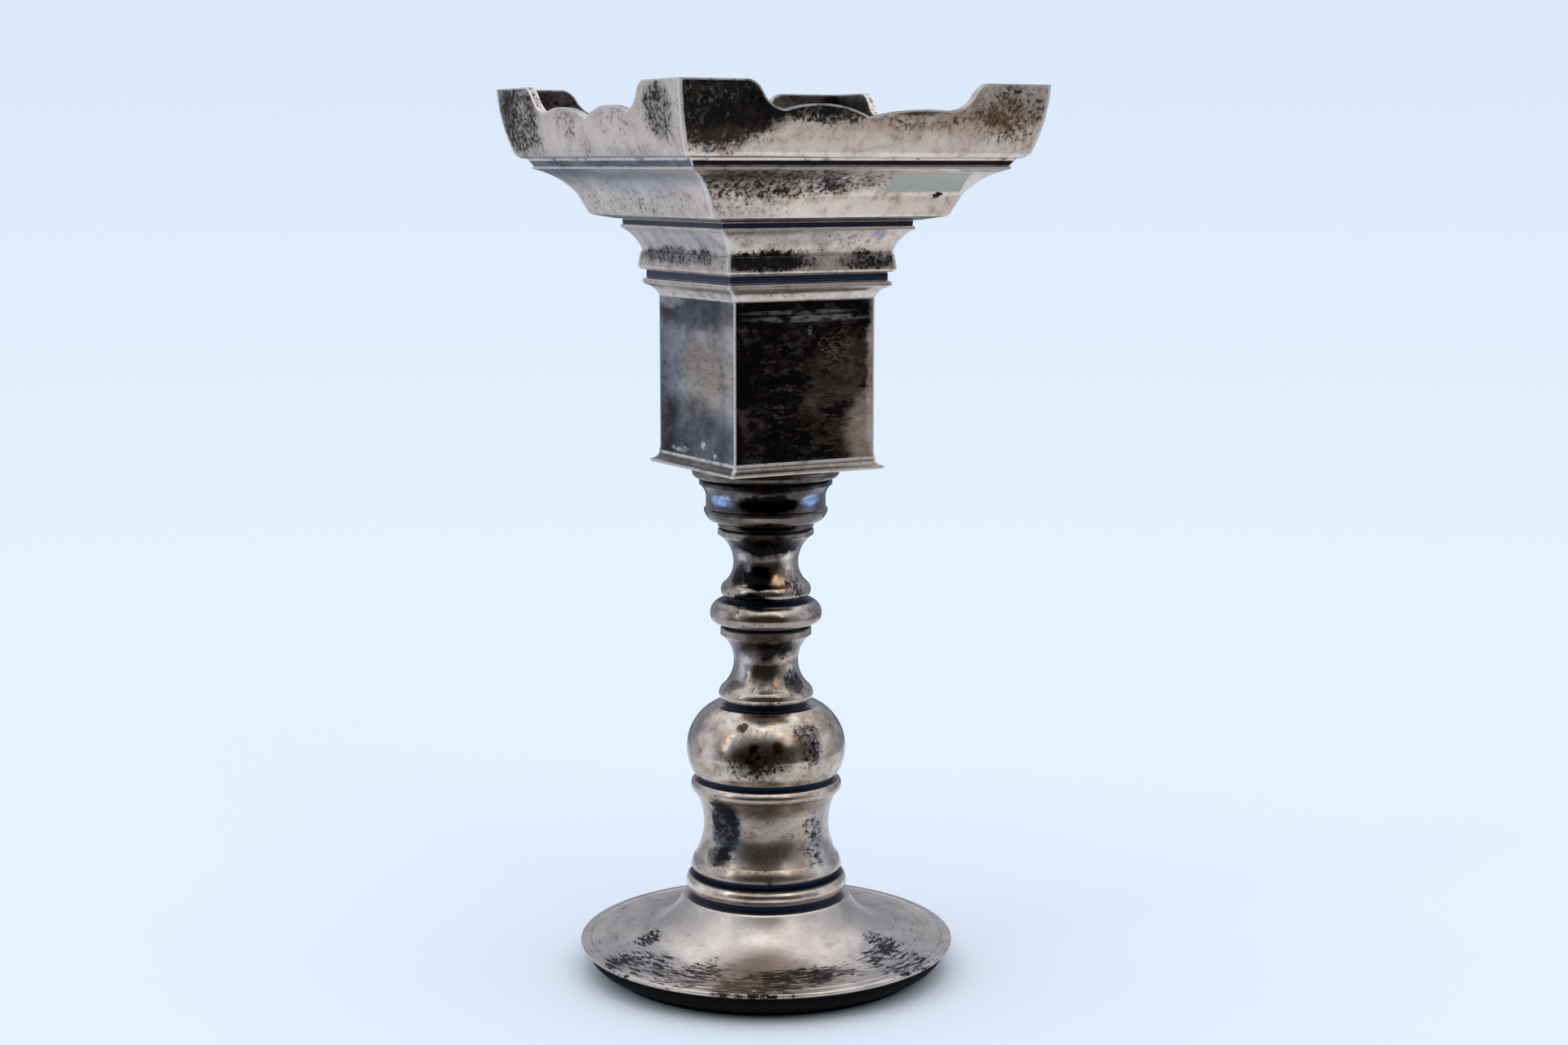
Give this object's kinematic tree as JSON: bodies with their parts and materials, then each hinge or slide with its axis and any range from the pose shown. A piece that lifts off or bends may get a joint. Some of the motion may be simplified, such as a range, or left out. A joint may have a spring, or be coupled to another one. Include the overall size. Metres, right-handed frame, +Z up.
{
  "type": "altar candlestick",
  "caption": "Small silver altar candlestick: a square battlemented crown pan with a lift-out candle cup on a square column and a turned stem with a round dished base.",
  "frame": {"origin": "centre of the underside of the foot, on the surface the stick stands on", "axes": "+Z up along the stem and the candle's axis; the four sides of the square head face +X, -X, +Y and -Y"},
  "size_m": [0.075, 0.075, 0.1676],
  "materials": {
    "tarnished_silver": "silver plate, worn bright on the edges, dark tarnish in the grooves and in patches",
    "cup_silver": "silver plate, dull inside",
    "blackened_foot": "black-stained hardwood, satin",
    "felt": "dark green wool felt",
    "loading": "as cast",
    "closing_plate": "plain sheet",
    "steel_fastening": "plain steel"
  },
  "bodies": {
    "stand": {"gallery_wall_front": "tarnished_silver", "gallery_wall_right": "tarnished_silver", "gallery_wall_back": "tarnished_silver", "gallery_wall_left": "tarnished_silver", "pan_floor": "tarnished_silver", "pan_moulding": "tarnished_silver", "cornice_moulding": "tarnished_silver", "collar_moulding": "tarnished_silver", "column_box": "tarnished_silver", "column_plate": "tarnished_silver", "abacus_disc": "tarnished_silver", "neck_capital": "tarnished_silver", "upper_baluster": "tarnished_silver", "ring_knop": "tarnished_silver", "lower_baluster": "tarnished_silver", "ball_knop": "tarnished_silver", "drum": "tarnished_silver", "base_ring": "tarnished_silver", "base_dish": "tarnished_silver", "foot_ring": "blackened_foot", "felt_pad": "felt", "base_weight": "loading", "bottom_plate": "closing_plate", "tie_rod": "steel_fastening", "top_nut": "steel_fastening", "bottom_nut": "steel_fastening", "top_washer": "steel_fastening", "bottom_washer": "steel_fastening"},
    "cup": {"candle_cup": "cup_silver"}
  },
  "joints": [
    {"name": "candle_cup_lift", "type": "slide", "parent": "stand", "child": "cup", "axis": [0, 0, 1], "range_m": [0, 0.045]}
  ]
}
